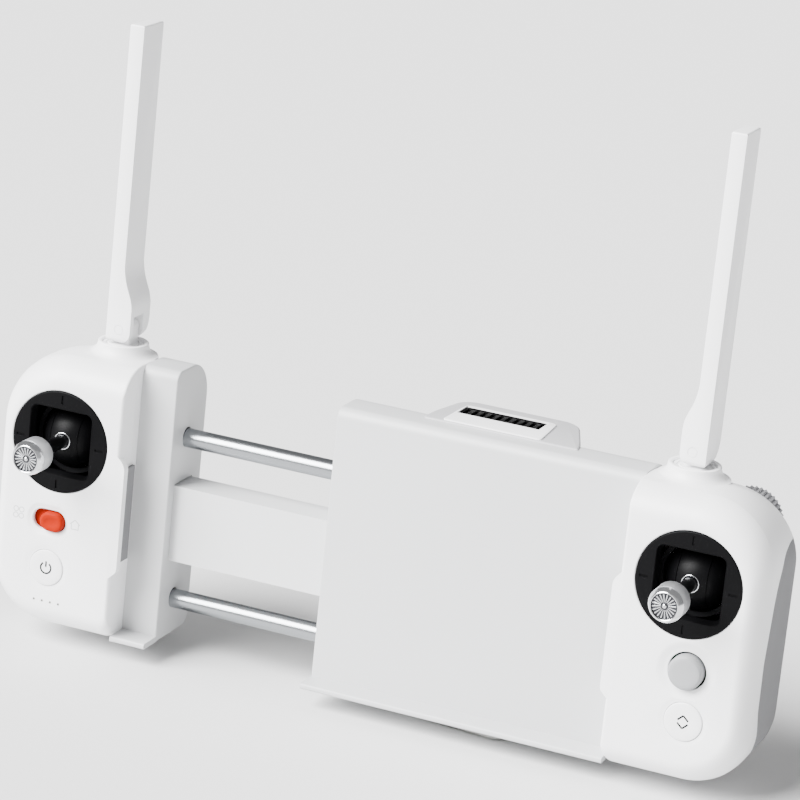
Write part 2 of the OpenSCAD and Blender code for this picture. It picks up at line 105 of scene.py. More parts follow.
def mouldedPlastic(name, light, dark, roughness, grain, depth, gloss=0.5):
    # Moulded ABS from a spark-eroded tool: a fine even grain that breaks up the highlight,
    # and a faint cloudiness where the melt flowed. The grain is drawn about twice too coarse to show.
    # A gloss under 0.5 keeps the sheen from greying the dark and the coloured pieces.
    material, tree, shader, place = startMaterial(name, roughness, ior=1.54, gloss=gloss)
    flow = addNode(tree, "ShaderNodeTexNoise",
                   inputs={"Vector": place, "Scale": perMetre(55), "Detail": 2.0})
    tint = addNode(tree, "ShaderNodeMix", {"data_type": "RGBA"},
                   {"Factor": flow.outputs["Fac"], 6: linear(light), 7: linear(dark)})
    tree.links.new(tint.outputs[2], shader.inputs["Base Color"])
    eroded = addNode(tree, "ShaderNodeTexNoise",
                     inputs={"Vector": place, "Scale": perMetre(grain), "Detail": 3.0,
                                                         "Roughness": 0.6})
    spread = addNode(tree, "ShaderNodeMapRange", inputs={"Value": eroded.outputs["Fac"], "From Min": 0.3,
                                                         "From Max": 0.7, "To Min": roughness - 0.06,
                                                         "To Max": roughness + 0.06})
    tree.links.new(spread.outputs["Result"], shader.inputs["Roughness"])
    bump = addNode(tree, "ShaderNodeBump", inputs={"Height": eroded.outputs["Fac"], "Strength": depth,
                                                   "Distance": 0.02 * mm})
    tree.links.new(bump.outputs["Normal"], shader.inputs["Normal"])
    return material


def rubberSkin():
    # Overmoulded thermoplastic rubber: soft, without gloss, with small pyramids that catch the light
    material, tree, shader, place = startMaterial("rubberOvermoulded", 0.82, ior=1.5)
    tint = addNode(tree, "ShaderNodeTexNoise", inputs={"Vector": place, "Scale": perMetre(20)})
    shade = addNode(tree, "ShaderNodeMix", {"data_type": "RGBA"},
                    {"Factor": tint.outputs["Fac"], 6: linear("#79797b"), 7: linear("#747476")})
    tree.links.new(shade.outputs[2], shader.inputs["Base Color"])
    cells = addNode(tree, "ShaderNodeTexVoronoi", {"feature": "F1"},
                    {"Vector": place, "Scale": perMetre(0.8),
                                                                     "Randomness": 0.35})
    bump = addNode(tree, "ShaderNodeBump", {"invert": True}, {"Height": cells.outputs["Distance"],
                                                              "Strength": 0.35, "Distance": 0.12 * mm})
    tree.links.new(bump.outputs["Normal"], shader.inputs["Normal"])
    return material


def blastedAluminium(name, tone, roughness, grain=0.25):
    # Bead-blasted and clear anodised aluminium: metallic but milky, with a tight sparkle
    material, tree, shader, place = startMaterial(name, roughness, metallic=1.0)
    shader.inputs["Base Color"].default_value = linear(tone)
    beads = addNode(tree, "ShaderNodeTexNoise",
                    inputs={"Vector": place, "Scale": perMetre(grain), "Detail": 2.0})
    spread = addNode(tree, "ShaderNodeMapRange",
                     inputs={"Value": beads.outputs["Fac"], "To Min": roughness - 0.08,
                                                         "To Max": roughness + 0.08})
    tree.links.new(spread.outputs["Result"], shader.inputs["Roughness"])
    bump = addNode(tree, "ShaderNodeBump", inputs={"Height": beads.outputs["Fac"], "Strength": 0.25,
                                                   "Distance": 0.01 * mm})
    tree.links.new(bump.outputs["Normal"], shader.inputs["Normal"])
    return material


def turnedMetal(name, tone, roughness, axis):
    # Metal turned or ground on a lathe: fine rings round its axis, drawn 0.3 mm apart to show
    material, tree, shader, place = startMaterial(name, roughness, metallic=1.0)
    shader.inputs["Base Color"].default_value = linear(tone)
    rings = addNode(tree, "ShaderNodeTexWave", {"wave_type": "BANDS", "bands_direction": axis},
                    {"Vector": place, "Scale": perMetre(0.3) / 6.283, "Distortion": 0.4, "Detail": 1.0})
    bump = addNode(tree, "ShaderNodeBump", inputs={"Height": rings.outputs["Fac"], "Strength": 0.12,
                                                   "Distance": 0.01 * mm})
    tree.links.new(bump.outputs["Normal"], shader.inputs["Normal"])
    return material


def circuitBoard():
    # Glass laminate under green solder mask: satin, with tracks a shade lighter
    material, tree, shader, place = startMaterial("solderMaskBoard", 0.4, ior=1.55)
    tracks = addNode(tree, "ShaderNodeTexBrick", {"offset": 0.35},
                     {"Vector": place, "Scale": perMetre(6), "Mortar Size": 0.06,
                      "Color1": linear("#1f5a3a"),
                      "Color2": linear("#235f40"), "Mortar": linear("#2f7a50")})
    tree.links.new(tracks.outputs["Color"], shader.inputs["Base Color"])
    return material


def shrinkFilm():
    # Blue PVC shrink film: thin, glossy and slightly wrinkled
    material, tree, shader, place = startMaterial("shrinkFilm", 0.28, ior=1.53)
    shader.inputs["Base Color"].default_value = linear("#2f5f9e")
    folds = addNode(tree, "ShaderNodeTexNoise",
                    inputs={"Vector": place, "Scale": perMetre(7), "Detail": 3.0})
    bump = addNode(tree, "ShaderNodeBump", inputs={"Height": folds.outputs["Fac"], "Strength": 0.3,
                                                   "Distance": 0.3 * mm})
    tree.links.new(bump.outputs["Normal"], shader.inputs["Normal"])
    return material


def knurledTop():
    # Moulded cap whose flat top has a fine diamond grid, 0.55 mm apart
    material, tree, shader, place = startMaterial("mouldedDiamondGrid", 0.55, ior=1.54)
    shader.inputs["Base Color"].default_value = linear("#8f9092")
    turned = addNode(tree, "ShaderNodeMapping",
                     inputs={"Vector": place, "Rotation": (0, math.radians(45), 0)})
    grid = addNode(tree, "ShaderNodeTexChecker", inputs={"Vector": turned.outputs["Vector"],
                                                         "Scale": perMetre(0.55)})
    bump = addNode(tree, "ShaderNodeBump", inputs={"Height": grid.outputs["Fac"], "Strength": 0.35,
                                                   "Distance": 0.05 * mm})
    tree.links.new(bump.outputs["Normal"], shader.inputs["Normal"])
    return material


def inkAndShadeFinish(name, tone):
    # Pad-printed ink, and a pale film of painted shade that stands for sunk lines: flat, a little rougher
    # than the plastic under it
    material, tree, shader, place = startMaterial(name, 0.6, gloss=0.08)
    speck = addNode(tree, "ShaderNodeTexNoise", inputs={"Vector": place, "Scale": perMetre(0.4)})
    coat = addNode(tree, "ShaderNodeMapRange",
                   inputs={"Value": speck.outputs["Fac"], "To Min": 0.5, "To Max": 0.7})
    tree.links.new(coat.outputs["Result"], shader.inputs["Roughness"])
    shader.inputs["Base Color"].default_value = linear(tone)
    return material


shellAbs = mouldedPlastic("absMouldedWhite", "#f3f3f4", "#efeff0", 0.42, 0.45, 0.22)
buttonAbs = mouldedPlastic("absMouldedButton", "#f1f1f2", "#ededee", 0.4, 0.45, 0.15)
bridgeAbs = mouldedPlastic("absMouldedOffWhite", "#c2c3c4", "#bcbdbe", 0.45, 0.5, 0.25)
humpAbs = mouldedPlastic("absMouldedLightGrey", "#aeaeb0", "#a9a9ab", 0.5, 0.5, 0.3)
scoopAbs = mouldedPlastic("absMouldedGrey", "#bdbdba", "#b6b6b3", 0.5, 0.5, 0.3)
linerAbs = mouldedPlastic("absMouldedLiner", "#d2d3d4", "#cccdce", 0.55, 0.5, 0.3)
dialAbs = mouldedPlastic("absMouldedDial", "#7f7f82", "#78787b", 0.5, 0.4, 0.25)
blackAbs = mouldedPlastic("absMouldedBlack", "#080809", "#060607", 0.42, 0.5, 0.3, gloss=0.05)
grilleAbs = mouldedPlastic("absMouldedGrille", "#080808", "#060607", 0.5, 0.5, 0.2, gloss=0.08)
gimbalNylon = mouldedPlastic("nylonMouldedDark", "#101012", "#0d0d0f", 0.55, 0.6, 0.35, gloss=0.12)
sliderAbs = mouldedPlastic("absMouldedOrange", "#931c04", "#8c1a04", 0.45, 0.5, 0.12, gloss=0.03)
acetal = mouldedPlastic("acetalTurned", "#eeeade", "#e8e4d6", 0.4, 0.6, 0.1)
lightGuide = mouldedPlastic("acrylicMilky", "#8f8f86", "#87877e", 0.3, 0.6, 0.1)
rubberTpe = rubberSkin()
capBlasted = blastedAluminium("aluminiumBlasted", "#bdbec0", 0.4)
capPolished = blastedAluminium("aluminiumPolished", "#cfd0d2", 0.18, 0.6)
shaftAnodised = turnedMetal("aluminiumAnodisedDark", "#3a3b3e", 0.32, "Y")
rodSteel = turnedMetal("steelGround", "#96999c", 0.24, "X")
screwSteel = turnedMetal("steelBlackOxide", "#2c2d2f", 0.35, "Y")
finAluminium = blastedAluminium("aluminiumExtruded", "#7c7e80", 0.4, 0.6)
boardMask = circuitBoard()
cellFilm = shrinkFilm()
diamondCap = knurledTop()
darkInk = inkAndShadeFinish("inkDarkGrey", "#1d1d1f")
# painted shade: this pale grey stands for the shade in the debossed lines of the signs beside the slider
signGroovePaintedShade = inkAndShadeFinish("signGroovesPaintedShade", "#b9babb")
print("materials made")


# ---- making meshes ----

def asObject(bm):
    mesh = bpy.data.meshes.new("work")
    bm.to_mesh(mesh)
    bm.free()
    work = bpy.data.objects.new("work", mesh)
    bpy.context.scene.collection.objects.link(work)
    return work


def modified(bm, kind, settings, tool=None):
    # bm after one modifier; tool is a second mesh that a boolean needs
    work = asObject(bm)
    cutter = asObject(tool) if tool else None
    step = work.modifiers.new("step", kind)
    for key, value in settings.items():
        setattr(step, key, value)
    if cutter:
        step.object = cutter
    bpy.context.view_layer.update()
    result = bmesh.new()
    result.from_object(work, bpy.context.evaluated_depsgraph_get())
    for spent in [work] + ([cutter] if cutter else []):
        mesh = spent.data
        bpy.data.objects.remove(spent)
        bpy.data.meshes.remove(mesh)
    return result


def carve(bm, tool, operation="DIFFERENCE"):
    return modified(bm, "BOOLEAN", {"operation": operation, "solver": "EXACT"}, tool)


def joined(*parts):
    whole = bmesh.new()
    for part in parts:
        mesh = bpy.data.meshes.new("part")
        part.to_mesh(mesh)
        part.free()
        whole.from_mesh(mesh)
        bpy.data.meshes.remove(mesh)
    return whole


flatArea = 4 * mm * mm  # faces that look along an axis and are larger than this are shaded flat


def addPiece(bm, name, material, body, nodes=(), side=1, smooth=32):
    if side < 0:
        bmesh.ops.scale(bm, vec=(-1, 1, 1), verts=bm.verts)
        bmesh.ops.reverse_faces(bm, faces=bm.faces)
    bmesh.ops.transform(bm, matrix=toFrame, verts=bm.verts)
    mesh = bpy.data.meshes.new(name)
    bm.to_mesh(mesh)
    bm.free()
    mesh.polygons.foreach_set("use_smooth", [face.area < flatArea or max(map(abs, face.normal)) < 0.99999
                                                 for face in mesh.polygons])
    mesh.set_sharp_from_angle(angle=math.radians(smooth))
    mesh.materials.append(material)
    piece = bpy.data.objects.new(name, mesh)
    bpy.context.scene.collection.objects.link(piece)
    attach(piece, body)
    if nodes:
        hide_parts(*nodes)
    return piece


def block(low, high):
    bm = bmesh.new()
    bmesh.ops.create_cube(bm, size=1)
    low, high = Vector(low), Vector(high)
    bmesh.ops.scale(bm, vec=high - low, verts=bm.verts)
    bmesh.ops.translate(bm, vec=(low + high) / 2, verts=bm.verts)
    return bm


def edgesAlong(bm, axis, keep=lambda middle: True):
    # edges that run along an axis (0, 1 or 2) and whose middle passes the test
    picked = []
    for edge in bm.edges:
        run = (edge.verts[1].co - edge.verts[0].co).normalized()
        if abs(run[axis]) > 0.99 and keep((edge.verts[0].co + edge.verts[1].co) / 2):
            picked.append(edge)
    return picked


def softened(bm, edges, width, segments=4):
    bmesh.ops.bevel(bm, geom=edges, offset=width, offset_type="OFFSET", affect="EDGES", segments=segments,
                    profile=0.5, material=-1, clamp_overlap=True)
    return bm


def sharpEdges(bm, degrees=40, keep=lambda middle: True):
    return [e for e in bm.edges if len(e.link_faces) == 2 and e.calc_face_angle(0) > math.radians(degrees)
            and keep((e.verts[0].co + e.verts[1].co) / 2)]


def lathed(profile, centre, steps=48, axis="Y"):
    # profile is [radius, distance along the axis]; a radius of 0 closes an end
    bm = bmesh.new()
    verts = [bm.verts.new((radius, along, 0)) for radius, along in profile]
    edges = [bm.edges.new(pair) for pair in zip(verts, verts[1:])]
    bmesh.ops.spin(bm, geom=verts + edges, cent=(0, 0, 0), axis=(0, 1, 0), angle=math.tau, steps=steps,
                   use_merge=True)
    bmesh.ops.remove_doubles(bm, verts=bm.verts, dist=0.002)
    bmesh.ops.recalc_face_normals(bm, faces=bm.faces)
    turn = {"Y": Matrix.Identity(4), "Z": Matrix.Rotation(math.radians(90), 4, "X"),
            "X": Matrix.Rotation(math.radians(-90), 4, "Z")}[axis]
    bmesh.ops.transform(bm, matrix=Matrix.Translation(centre) @ turn, verts=bm.verts)
    return bm


def arc(centreR, centreY, radius, fromAngle, toAngle, steps):
    return [(centreR + radius * math.cos(math.radians(fromAngle + (toAngle - fromAngle) * i / steps)),
             centreY + radius * math.sin(math.radians(fromAngle + (toAngle - fromAngle) * i / steps)))
            for i in range(steps + 1)]


def plate(points, depth, radii=None, axis="Y", segments=6):
    # a flat outline of a few corners, each rounded by its own radius, drawn out along an axis
    bm = bmesh.new()
    corners = [bm.verts.new((a, b, 0)) for a, b in points]
    bm.faces.new(corners)
    for corner, radius in zip(points, radii or []):
        if radius:
            vert = min(bm.verts, key=lambda v: (v.co.x - corner[0]) ** 2 + (v.co.y - corner[1]) ** 2)
            bmesh.ops.bevel(bm, geom=[vert], offset=radius, offset_type="OFFSET", affect="VERTICES",
                            segments=segments, profile=0.5, material=-1)
    grown = bmesh.ops.extrude_face_region(bm, geom=list(bm.faces))
    moved = [g for g in grown["geom"] if isinstance(g, bmesh.types.BMVert)]
    bmesh.ops.translate(bm, vec=(0, 0, depth[1] - depth[0]), verts=moved)
    bmesh.ops.translate(bm, vec=(0, 0, depth[0]), verts=bm.verts)
    # outline axes become X and Z for Y, X and Y for Z, and Y and Z for X
    turn = {"Y": Matrix(((1, 0, 0, 0), (0, 0, 1, 0), (0, 1, 0, 0), (0, 0, 0, 1))), "Z": Matrix.Identity(4),
            "X": Matrix(((0, 0, 1, 0), (1, 0, 0, 0), (0, 1, 0, 0), (0, 0, 0, 1)))}[axis]
    bmesh.ops.transform(bm, matrix=turn, verts=bm.verts)
    bmesh.ops.recalc_face_normals(bm, faces=bm.faces)
    return bm


def lofted(radii, sections, capFirst=True, capLast=True, segments=10):
    # a rounded rectangle drawn along Y; a section is (y, low x, high x, low z, high z)
    # radii go round from low x, low z: (low low, high low, high high, low high)
    y, lowX, highX, lowZ, highZ = sections[0]
    points = [(lowX, lowZ), (highX, lowZ), (highX, highZ), (lowX, highZ)]
    bm = bmesh.new()
    bm.faces.new([bm.verts.new((a, y, b)) for a, b in points])
    for corner, radius in zip(points, radii):
        vert = min(bm.verts, key=lambda v: (v.co.x - corner[0]) ** 2 + (v.co.z - corner[1]) ** 2)
        bmesh.ops.bevel(bm, geom=[vert], offset=radius, offset_type="OFFSET", affect="VERTICES",
                        segments=segments, profile=0.5, material=-1)
    first = list(bm.faces)
    ring = list(bm.edges)
    if not capFirst:
        bmesh.ops.delete(bm, geom=first, context="FACES_ONLY")
    before = sections[0]
    for section in sections[1:]:
        grown = bmesh.ops.extrude_edge_only(bm, edges=ring)
        verts = [g for g in grown["geom"] if isinstance(g, bmesh.types.BMVert)]
        inRing = set(verts)
        ring = [e for e in bm.edges if e.verts[0] in inRing and e.verts[1] in inRing]
        scaleX = (section[2] - section[1]) / (before[2] - before[1])
        scaleZ = (section[4] - section[3]) / (before[4] - before[3])
        fit = Matrix(((scaleX, 0, 0, section[1] - before[1] * scaleX), (0, 1, 0, section[0] - before[0]),
                      (0, 0, scaleZ, section[3] - before[3] * scaleZ), (0, 0, 0, 1)))
        bmesh.ops.transform(bm, matrix=fit, verts=verts)
        before = section
    if capLast:
        bmesh.ops.contextual_create(bm, geom=ring)
    bmesh.ops.recalc_face_normals(bm, faces=bm.faces)
    if not (capFirst and capLast):
        # an open skin: make sure that it faces outwards
        middle = sum((v.co for v in bm.verts), Vector()) / len(bm.verts)
        outward = sum((f.normal.dot(f.calc_center_median() - middle) for f in bm.faces))
        if outward < 0:
            bmesh.ops.reverse_faces(bm, faces=bm.faces)
    return bm


# ---- camera and light ----

view = {"azimuth": 21.65, "elevation": 15.28, "roll": 5.78, "distance": 1031.4, "aimX": -6.85, "aimZ": 73.7,
        "lens": 159.8, "shiftX": 0.0457, "shiftY": -0.0859}


def makeCamera():
    turn, rise, roll = (math.radians(view[k]) for k in ("azimuth", "elevation", "roll"))
    back = Vector((math.sin(turn) * math.cos(rise), -math.cos(turn) * math.cos(rise), math.sin(rise)))
    level = Vector((math.cos(turn), math.sin(turn), 0))
    upright = back.cross(level)
    right = level * math.cos(roll) + upright * math.sin(roll)
    up = upright * math.cos(roll) - level * math.sin(roll)
    data = bpy.data.cameras.new("camera")
    data.sensor_width = 36
    data.lens = view["lens"]
    data.shift_x, data.shift_y = view["shiftX"], view["shiftY"]
    camera = bpy.data.objects.new("camera", data)
    bpy.context.scene.collection.objects.link(camera)
    place = bayMiddle + (Vector((view["aimX"], 0, view["aimZ"])) + back * view["distance"]) * mm
    camera.matrix_world = Matrix(((right.x, up.x, back.x, place.x), (right.y, up.y, back.y, place.y),
                                  (right.z, up.z, back.z, place.z), (0, 0, 0, 1)))
    bpy.context.scene.camera = camera


# the key is a wide soft source far away, high on the left in front; the strength is in W/m2
lamps = {"key": {"from": (-0.5, -0.6, 0.64), "spread": 45, "strength": 17.0},
         "fill": {"from": (0.75, -0.55, 0.35), "spread": 80, "strength": 0.4}}
surround = 0.4


def makeLights():
    for name, lamp in lamps.items():
        data = bpy.data.lights.new(name, "SUN")
        data.angle, data.energy = math.radians(lamp["spread"]), lamp["strength"]
        light = bpy.data.objects.new(name, data)
        bpy.context.scene.collection.objects.link(light)
        light.rotation_mode = "QUATERNION"
        light.rotation_quaternion = Vector(lamp["from"]).to_track_quat("Z", "Y")
    world = bpy.data.worlds.new("studio")
    world.use_nodes = True
    world.node_tree.nodes["Background"].inputs["Color"].default_value = linear("#fbfbfc")
    world.node_tree.nodes["Background"].inputs["Strength"].default_value = surround
    bpy.context.scene.world = world


def makeFloor():
    bm = bmesh.new()
    bmesh.ops.create_circle(bm, cap_ends=True, segments=96, radius=12)
    bmesh.ops.translate(bm, vec=(0, 0, -0.0002), verts=bm.verts)
    mesh = bpy.data.meshes.new("studio_floor")
    bm.to_mesh(mesh)
    bm.free()
    # Seamless paper: matte and pale grey
    material, tree, shader, place = startMaterial("seamlessPaper", 0.9)
    fibres = addNode(tree, "ShaderNodeTexNoise", inputs={"Vector": place, "Scale": 900.0, "Detail": 2.0})
    tint = addNode(tree, "ShaderNodeMix", {"data_type": "RGBA"},
                   {"Factor": fibres.outputs["Fac"], 6: linear("#dcdcdc"), 7: linear("#d9d9d9")})
    tree.links.new(tint.outputs[2], shader.inputs["Base Color"])
    mesh.materials.append(material)
    floor = bpy.data.objects.new("studio_floor", mesh)
    bpy.context.scene.collection.objects.link(floor)


makeCamera()
makeLights()
makeFloor()
print("camera and light placed")


# ---- grips ----

shellBox = boxMm("right_rear_shell")
gripShape = {
    "inner": shellBox[0].x, "outer": shellBox[1].x, "bottom": shellBox[0].z, "top": 46.4,
    "face": -3.0, "palm": shellBox[1].y, "seam": shellBox[0].y, "seamGap": 0.02, "wall": 1.8,
    # corner radii seen from the front: inner bottom, outer bottom, outer top, inner top
    "corners": (3.0, 18.0, 21.0, 0.8),
    # the face rounds off over a depth, and draws in by so much at the side, top and bottom
    "faceDepth": 11.5, "faceSide": 5.6, "faceTop": 8.6, "faceBottom": 8.0, "faceInner": 1.0,
    # the palm does the same, from its own start on the sides and on the top
    "sideStart": 26.0, "sideInset": 15.0, "topStart": 12.0, "topInset": 22.0, "innerStart": 31.5,
             "innerInset": 4.0}
stickAt = middleMm("right_stick_bezel")
bezelRadius = (boxMm("right_stick_bezel")[1].x - boxMm("right_stick_bezel")[0].x) / 2
fiveAt = middleMm("five_way_cap")
functionAt = middleMm("function_button")
powerAt = middleMm("power_button")
dialAt = middleMm("right_dial")
turretAt = middleMm("right_antenna_turret")
lightsLow, lightsHigh = boxMm("charge_lights")


def quarter(y, start, end):
    # how far a quarter ellipse from start to end has turned in at y, from 0 to 1
    t = min(max((y - start) / (end - start), 0), 1)
    return 1 - math.sqrt(1 - t * t)


def gripSection(y, thin=0.0):
    g = gripShape
    start = g["face"] + g["faceDepth"]
    front = quarter(y, start, g["face"])
    side = front * g["faceSide"] + quarter(y, g["sideStart"], g["palm"]) * g["sideInset"] + thin
    top = front * g["faceTop"] + quarter(y, g["topStart"], g["palm"]) * g["topInset"] + thin
    bottom = front * g["faceBottom"] + quarter(y, g["sideStart"], g["palm"]) * g["sideInset"] + thin
    inner = (quarter(y, g["face"] + 1.2, g["face"]) * g["faceInner"] +
             quarter(y, g["innerStart"], g["palm"]) * g["innerInset"] + thin)
    place = y - thin * max(0, (y - g["topStart"]) / (g["palm"] - g["topStart"]))
    return place, g["inner"] + inner, g["outer"] - 0.02 - side, g["bottom"] + bottom, g["top"] - top


def swept(start, end, steps):
    # places that crowd towards the end, for a quarter ellipse
    return [start + (end - start) * math.sin(math.radians(90 * i / steps)) for i in range(1, steps + 1)]


def frontSections():
    g = gripShape
    seam = g["seam"] - g["seamGap"]
    return [gripSection(y) for y in [seam] + swept(seam, g["face"], 16)]


def rearSections(thin=0.0):
    g = gripShape
    seam = g["seam"] + g["seamGap"]
    first = [seam, g["face"] + g["faceDepth"], g["topStart"]]
    return [gripSection(y, thin) for y in first + swept(g["topStart"], g["palm"], 24)]


def holeCutter(at, radius, lip, flare=0.0, depth=0.0):
    # a round hole whose mouth is rounded by lip, and dished over flare and depth round it;
    # the dish ends just above the face, so that the cut crosses it cleanly
    face = gripShape["face"]
    wall = arc(radius + lip, face + depth + lip, lip, 180, 270, 5) if lip else [(radius, face + depth)]
    profile = [(0, face + 7), (radius, face + 7)] + wall
    for i in range(1, 9):
        t = i / 8
        if flare:
            profile.append((radius + lip + flare * t, face + depth * (1 - t * t * (3 - 2 * t)) - overshoot))
    profile += [(profile[-1][0], face - 3), (0, face - 3)]
    return lathed(profile, (at.x, 0, at.z), 64)


def slotCutter(at, slot):
    face, halfWide, halfTall = gripShape["face"], slot["halfWide"], slot["halfTall"]
    rows = [(face + 6, 0), (face + slot["depth"] + 0.3, 0)]
    for i in range(9):
        t = i / 8
        rows.append((face + slot["depth"] * (1 - t * t * (3 - 2 * t)) - overshoot, 0.3 + slot["flare"] * t))
    rows.append((face - 3, 0.3 + slot["flare"]))
    sections = [(y, at.x - halfWide - grow, at.x + halfWide + grow, at.z - halfTall - grow,
                 at.z + halfTall + grow)
                for y, grow in rows]
    return lofted([halfTall * 0.999] * 4, sections, segments=12)


phoneLip = {"reach": 2.0, "low": -16.0, "high": 17.5, "ramp": 2.6, "back": -0.4, "round": 0.7}
dishes = {"five_way": (5.7, 0.3, 3.4, 0.75), "function": (5.92, 0.18, 1.6, 0.18),
          "power": (5.82, 0.18, 1.6, 0.18)}
slotShape = {"halfWide": 5.55, "halfTall": 3.3, "flare": 1.9, "depth": 0.45}
pipShape = {"pitch": 2.8, "radius": 0.4, "hole": 0.42}
sliderLow, sliderHigh = boxMm("mode_slider")
overshoot = 0.012  # how far a dish's cutter runs on past the face


def frontShell(name):
    g, lip = gripShape, phoneLip
    skin = lofted(g["corners"], frontSections(), capFirst=False, segments=16)
    shell = modified(skin, "SOLIDIFY", {"thickness": g["wall"], "offset": -1.0, "use_even_offset": True,
                                        "use_rim": True})
    inner, reach = g["inner"], lip["reach"]
    outline = [(inner + 3, lip["low"] - lip["ramp"] - 2), (inner + 0.3, lip["low"] - lip["ramp"]),
               (inner - reach, lip["low"]), (inner - reach, lip["high"]),
               (inner + 0.3, lip["high"] + lip["ramp"]),
               (inner + 3, lip["high"] + lip["ramp"] + 2)]
    ledge = plate(outline, (g["face"] + 0.02, lip["back"]), (0, 3, 1.5, 1.5, 3, 0))
    softened(ledge, sharpEdges(ledge, 60, lambda m: m.y < g["face"] + 0.1 and m.x < inner + 2),
             lip["round"])
    shell = carve(shell, ledge, "UNION")
    shell = carve(shell, holeCutter(stickAt, bezelRadius + 0.12, 0.45))
    if name == "right":
        for at, key in ((fiveAt, "five_way"), (functionAt, "function")):
            shell = carve(shell, holeCutter(at, *dishes[key]))
    else:
        power = Vector((-powerAt.x, powerAt.y, powerAt.z))
        shell = carve(shell, holeCutter(power, *dishes["power"]))
        middle = Vector((-(sliderLow.x + sliderHigh.x) / 2, 0, (sliderLow.z + sliderHigh.z) / 2))
        shell = carve(shell, slotCutter(middle, slotShape))
        radius, height = pipShape["hole"], (lightsLow.z + lightsHigh.z) / 2
        pips = []
        for i in range(4):
            across = -(lightsLow.x + pipShape["radius"] + pipShape["pitch"] * i)
            pips.append(lathed([(0, 1), (radius, 1), (radius, g["face"] - 1), (0, g["face"] - 1)],
                               (across, 0, height), 16))
        shell = carve(shell, joined(*pips))
    return addPiece(shell, name + "_face_shell", shellAbs, gripBody[name], [name + "_front_shell"],
                    sides[name])


collarShape = {"radius": 7.8, "top": 50.0, "bore": 6.55, "fillet": 3.6, "rim": 0.35, "foot": 3.4}
caseScrew = {"head": 2.0, "hole": 2.3, "seat": 33.9}
padEdge = [(34, -34.5), (34, 31), (20, 31), (13.5, 27.5), (9.2, 14), (7.5, -1.5), (8, -16), (11, -27.5),
           (16, -33)]


def padBlock(grow=0.0):
    g = gripShape
    middle = Vector((22, -2))
    points = [tuple(Vector(p) + (Vector(p) - middle).normalized() * grow) for p in padEdge]
    return plate(points, (g["outer"] - 16, g["outer"] + 4), (3, 3, 4, 8, 20, 20, 20, 12, 8), "X")


def rearShell(name):
    g, c = gripShape, collarShape
    hollow = rearSections(g["wall"])
    hollow[0] = (hollow[0][0] - 1, *hollow[0][1:])  # opens the hollow at the seam
    inside = lofted([max(r - g["wall"], 0.5) for r in g["corners"]], hollow, segments=16)
    shell = carve(cappedRear(0.0), inside)
    # the collar grows out of the roof in a wide fillet, deeper at the back where the roof falls away
    flare = arc(c["radius"] + c["fillet"], g["top"] - 0.3 + c["fillet"], c["fillet"], 262, 183, 12)
    low = g["top"] - c["foot"]
    profile = [(c["bore"] - 1, low), (c["radius"] + c["foot"], low),
               (c["radius"] + 3.2, g["top"] - 1.0)] + flare
    profile += arc(c["radius"] - c["rim"], c["top"] - c["rim"], c["rim"], 0, 90, 4)
    profile += arc(c["bore"] + c["rim"], c["top"] - c["rim"], c["rim"], 90, 180, 4)
    profile += [(c["bore"], g["top"] - 1.0), (c["bore"] - 1, low)]
    collar = lathed(profile, (turretAt.x, turretAt.y, 0), 72, "Z")
    shell = carve(shell, collar, "UNION")
    bore = lathed([(0, 40), (c["bore"], 40), (c["bore"], 52), (0, 52)], (turretAt.x, turretAt.y, 0), 72,
                  "Z")
    shell = carve(shell, bore)
    dialLow, dialHigh = boxMm("right_dial")
    radius = (dialHigh.x - dialLow.x) / 2 + 0.7
    slot = lathed([(0, dialLow.y - 0.5), (radius, dialLow.y - 0.5), (radius, dialHigh.y + 0.5),
                   (0, dialHigh.y + 0.5)], (dialAt.x, 0, dialAt.z), 64)
    shell = carve(shell, slot)
    screwLow, screwHigh = boxMm("right_case_screws")
    hole = [(0, caseScrew["seat"]), (caseScrew["hole"], caseScrew["seat"]), (caseScrew["hole"], 50),
            (0, 50)]
    screws = [lathed(hole, (screwLow.x + caseScrew["head"], 0, z), 32)
              for z in (screwLow.z + caseScrew["head"], screwHigh.z - caseScrew["head"])]
    shell = carve(shell, joined(*screws))
    shell = carve(shell, carve(padBlock(0.12), cappedRear(0.8)))
    if name == "right":
        low, high = boxMm("usb_socket")
        port = block((low.x - 0.1, low.y - 0.1, g["bottom"] - 1),
                     (high.x + 0.1, high.y + 0.1, g["bottom"] + 4))
        softened(port, edgesAlong(port, 2), 1.7, 6)
        shell = carve(shell, port)
    return addPiece(shell, name + "_palm_shell", shellAbs, gripBody[name], [name + "_rear_shell"],
                    sides[name])


def cappedRear(thin):
    return lofted(gripShape["corners"], rearSections(thin), segments=16)


def sidePad(name):
    pad = carve(padBlock(), cappedRear(0.0), "INTERSECT")
    pad = carve(pad, cappedRear(0.75))
    return addPiece(pad, name + "_grip_pad", rubberTpe, gripBody[name], [name + "_side_pad"],
                    sides[name])


for name in sides:
    frontShell(name)
    rearShell(name)
    sidePad(name)
print("grips made")


# ---- sticks ----

stickShape = {"disc": bezelRadius, "front": boxMm("right_stick_bezel")[0].y, "deep": 2.9, "window": 21.0,
              "windowRound": 2.2, "tick": (12.0, 14.7, 0.7, 0.35),
              "pivot": 8.3, "dome": 10.0, "grooveAt": 4.6, "grooveWide": 0.28,
              "tip": boxMm("right_stick_cap")[0].y, "cap": 5.25, "capLong": 8.0, "shaft": 2.1, "ridges": 20}


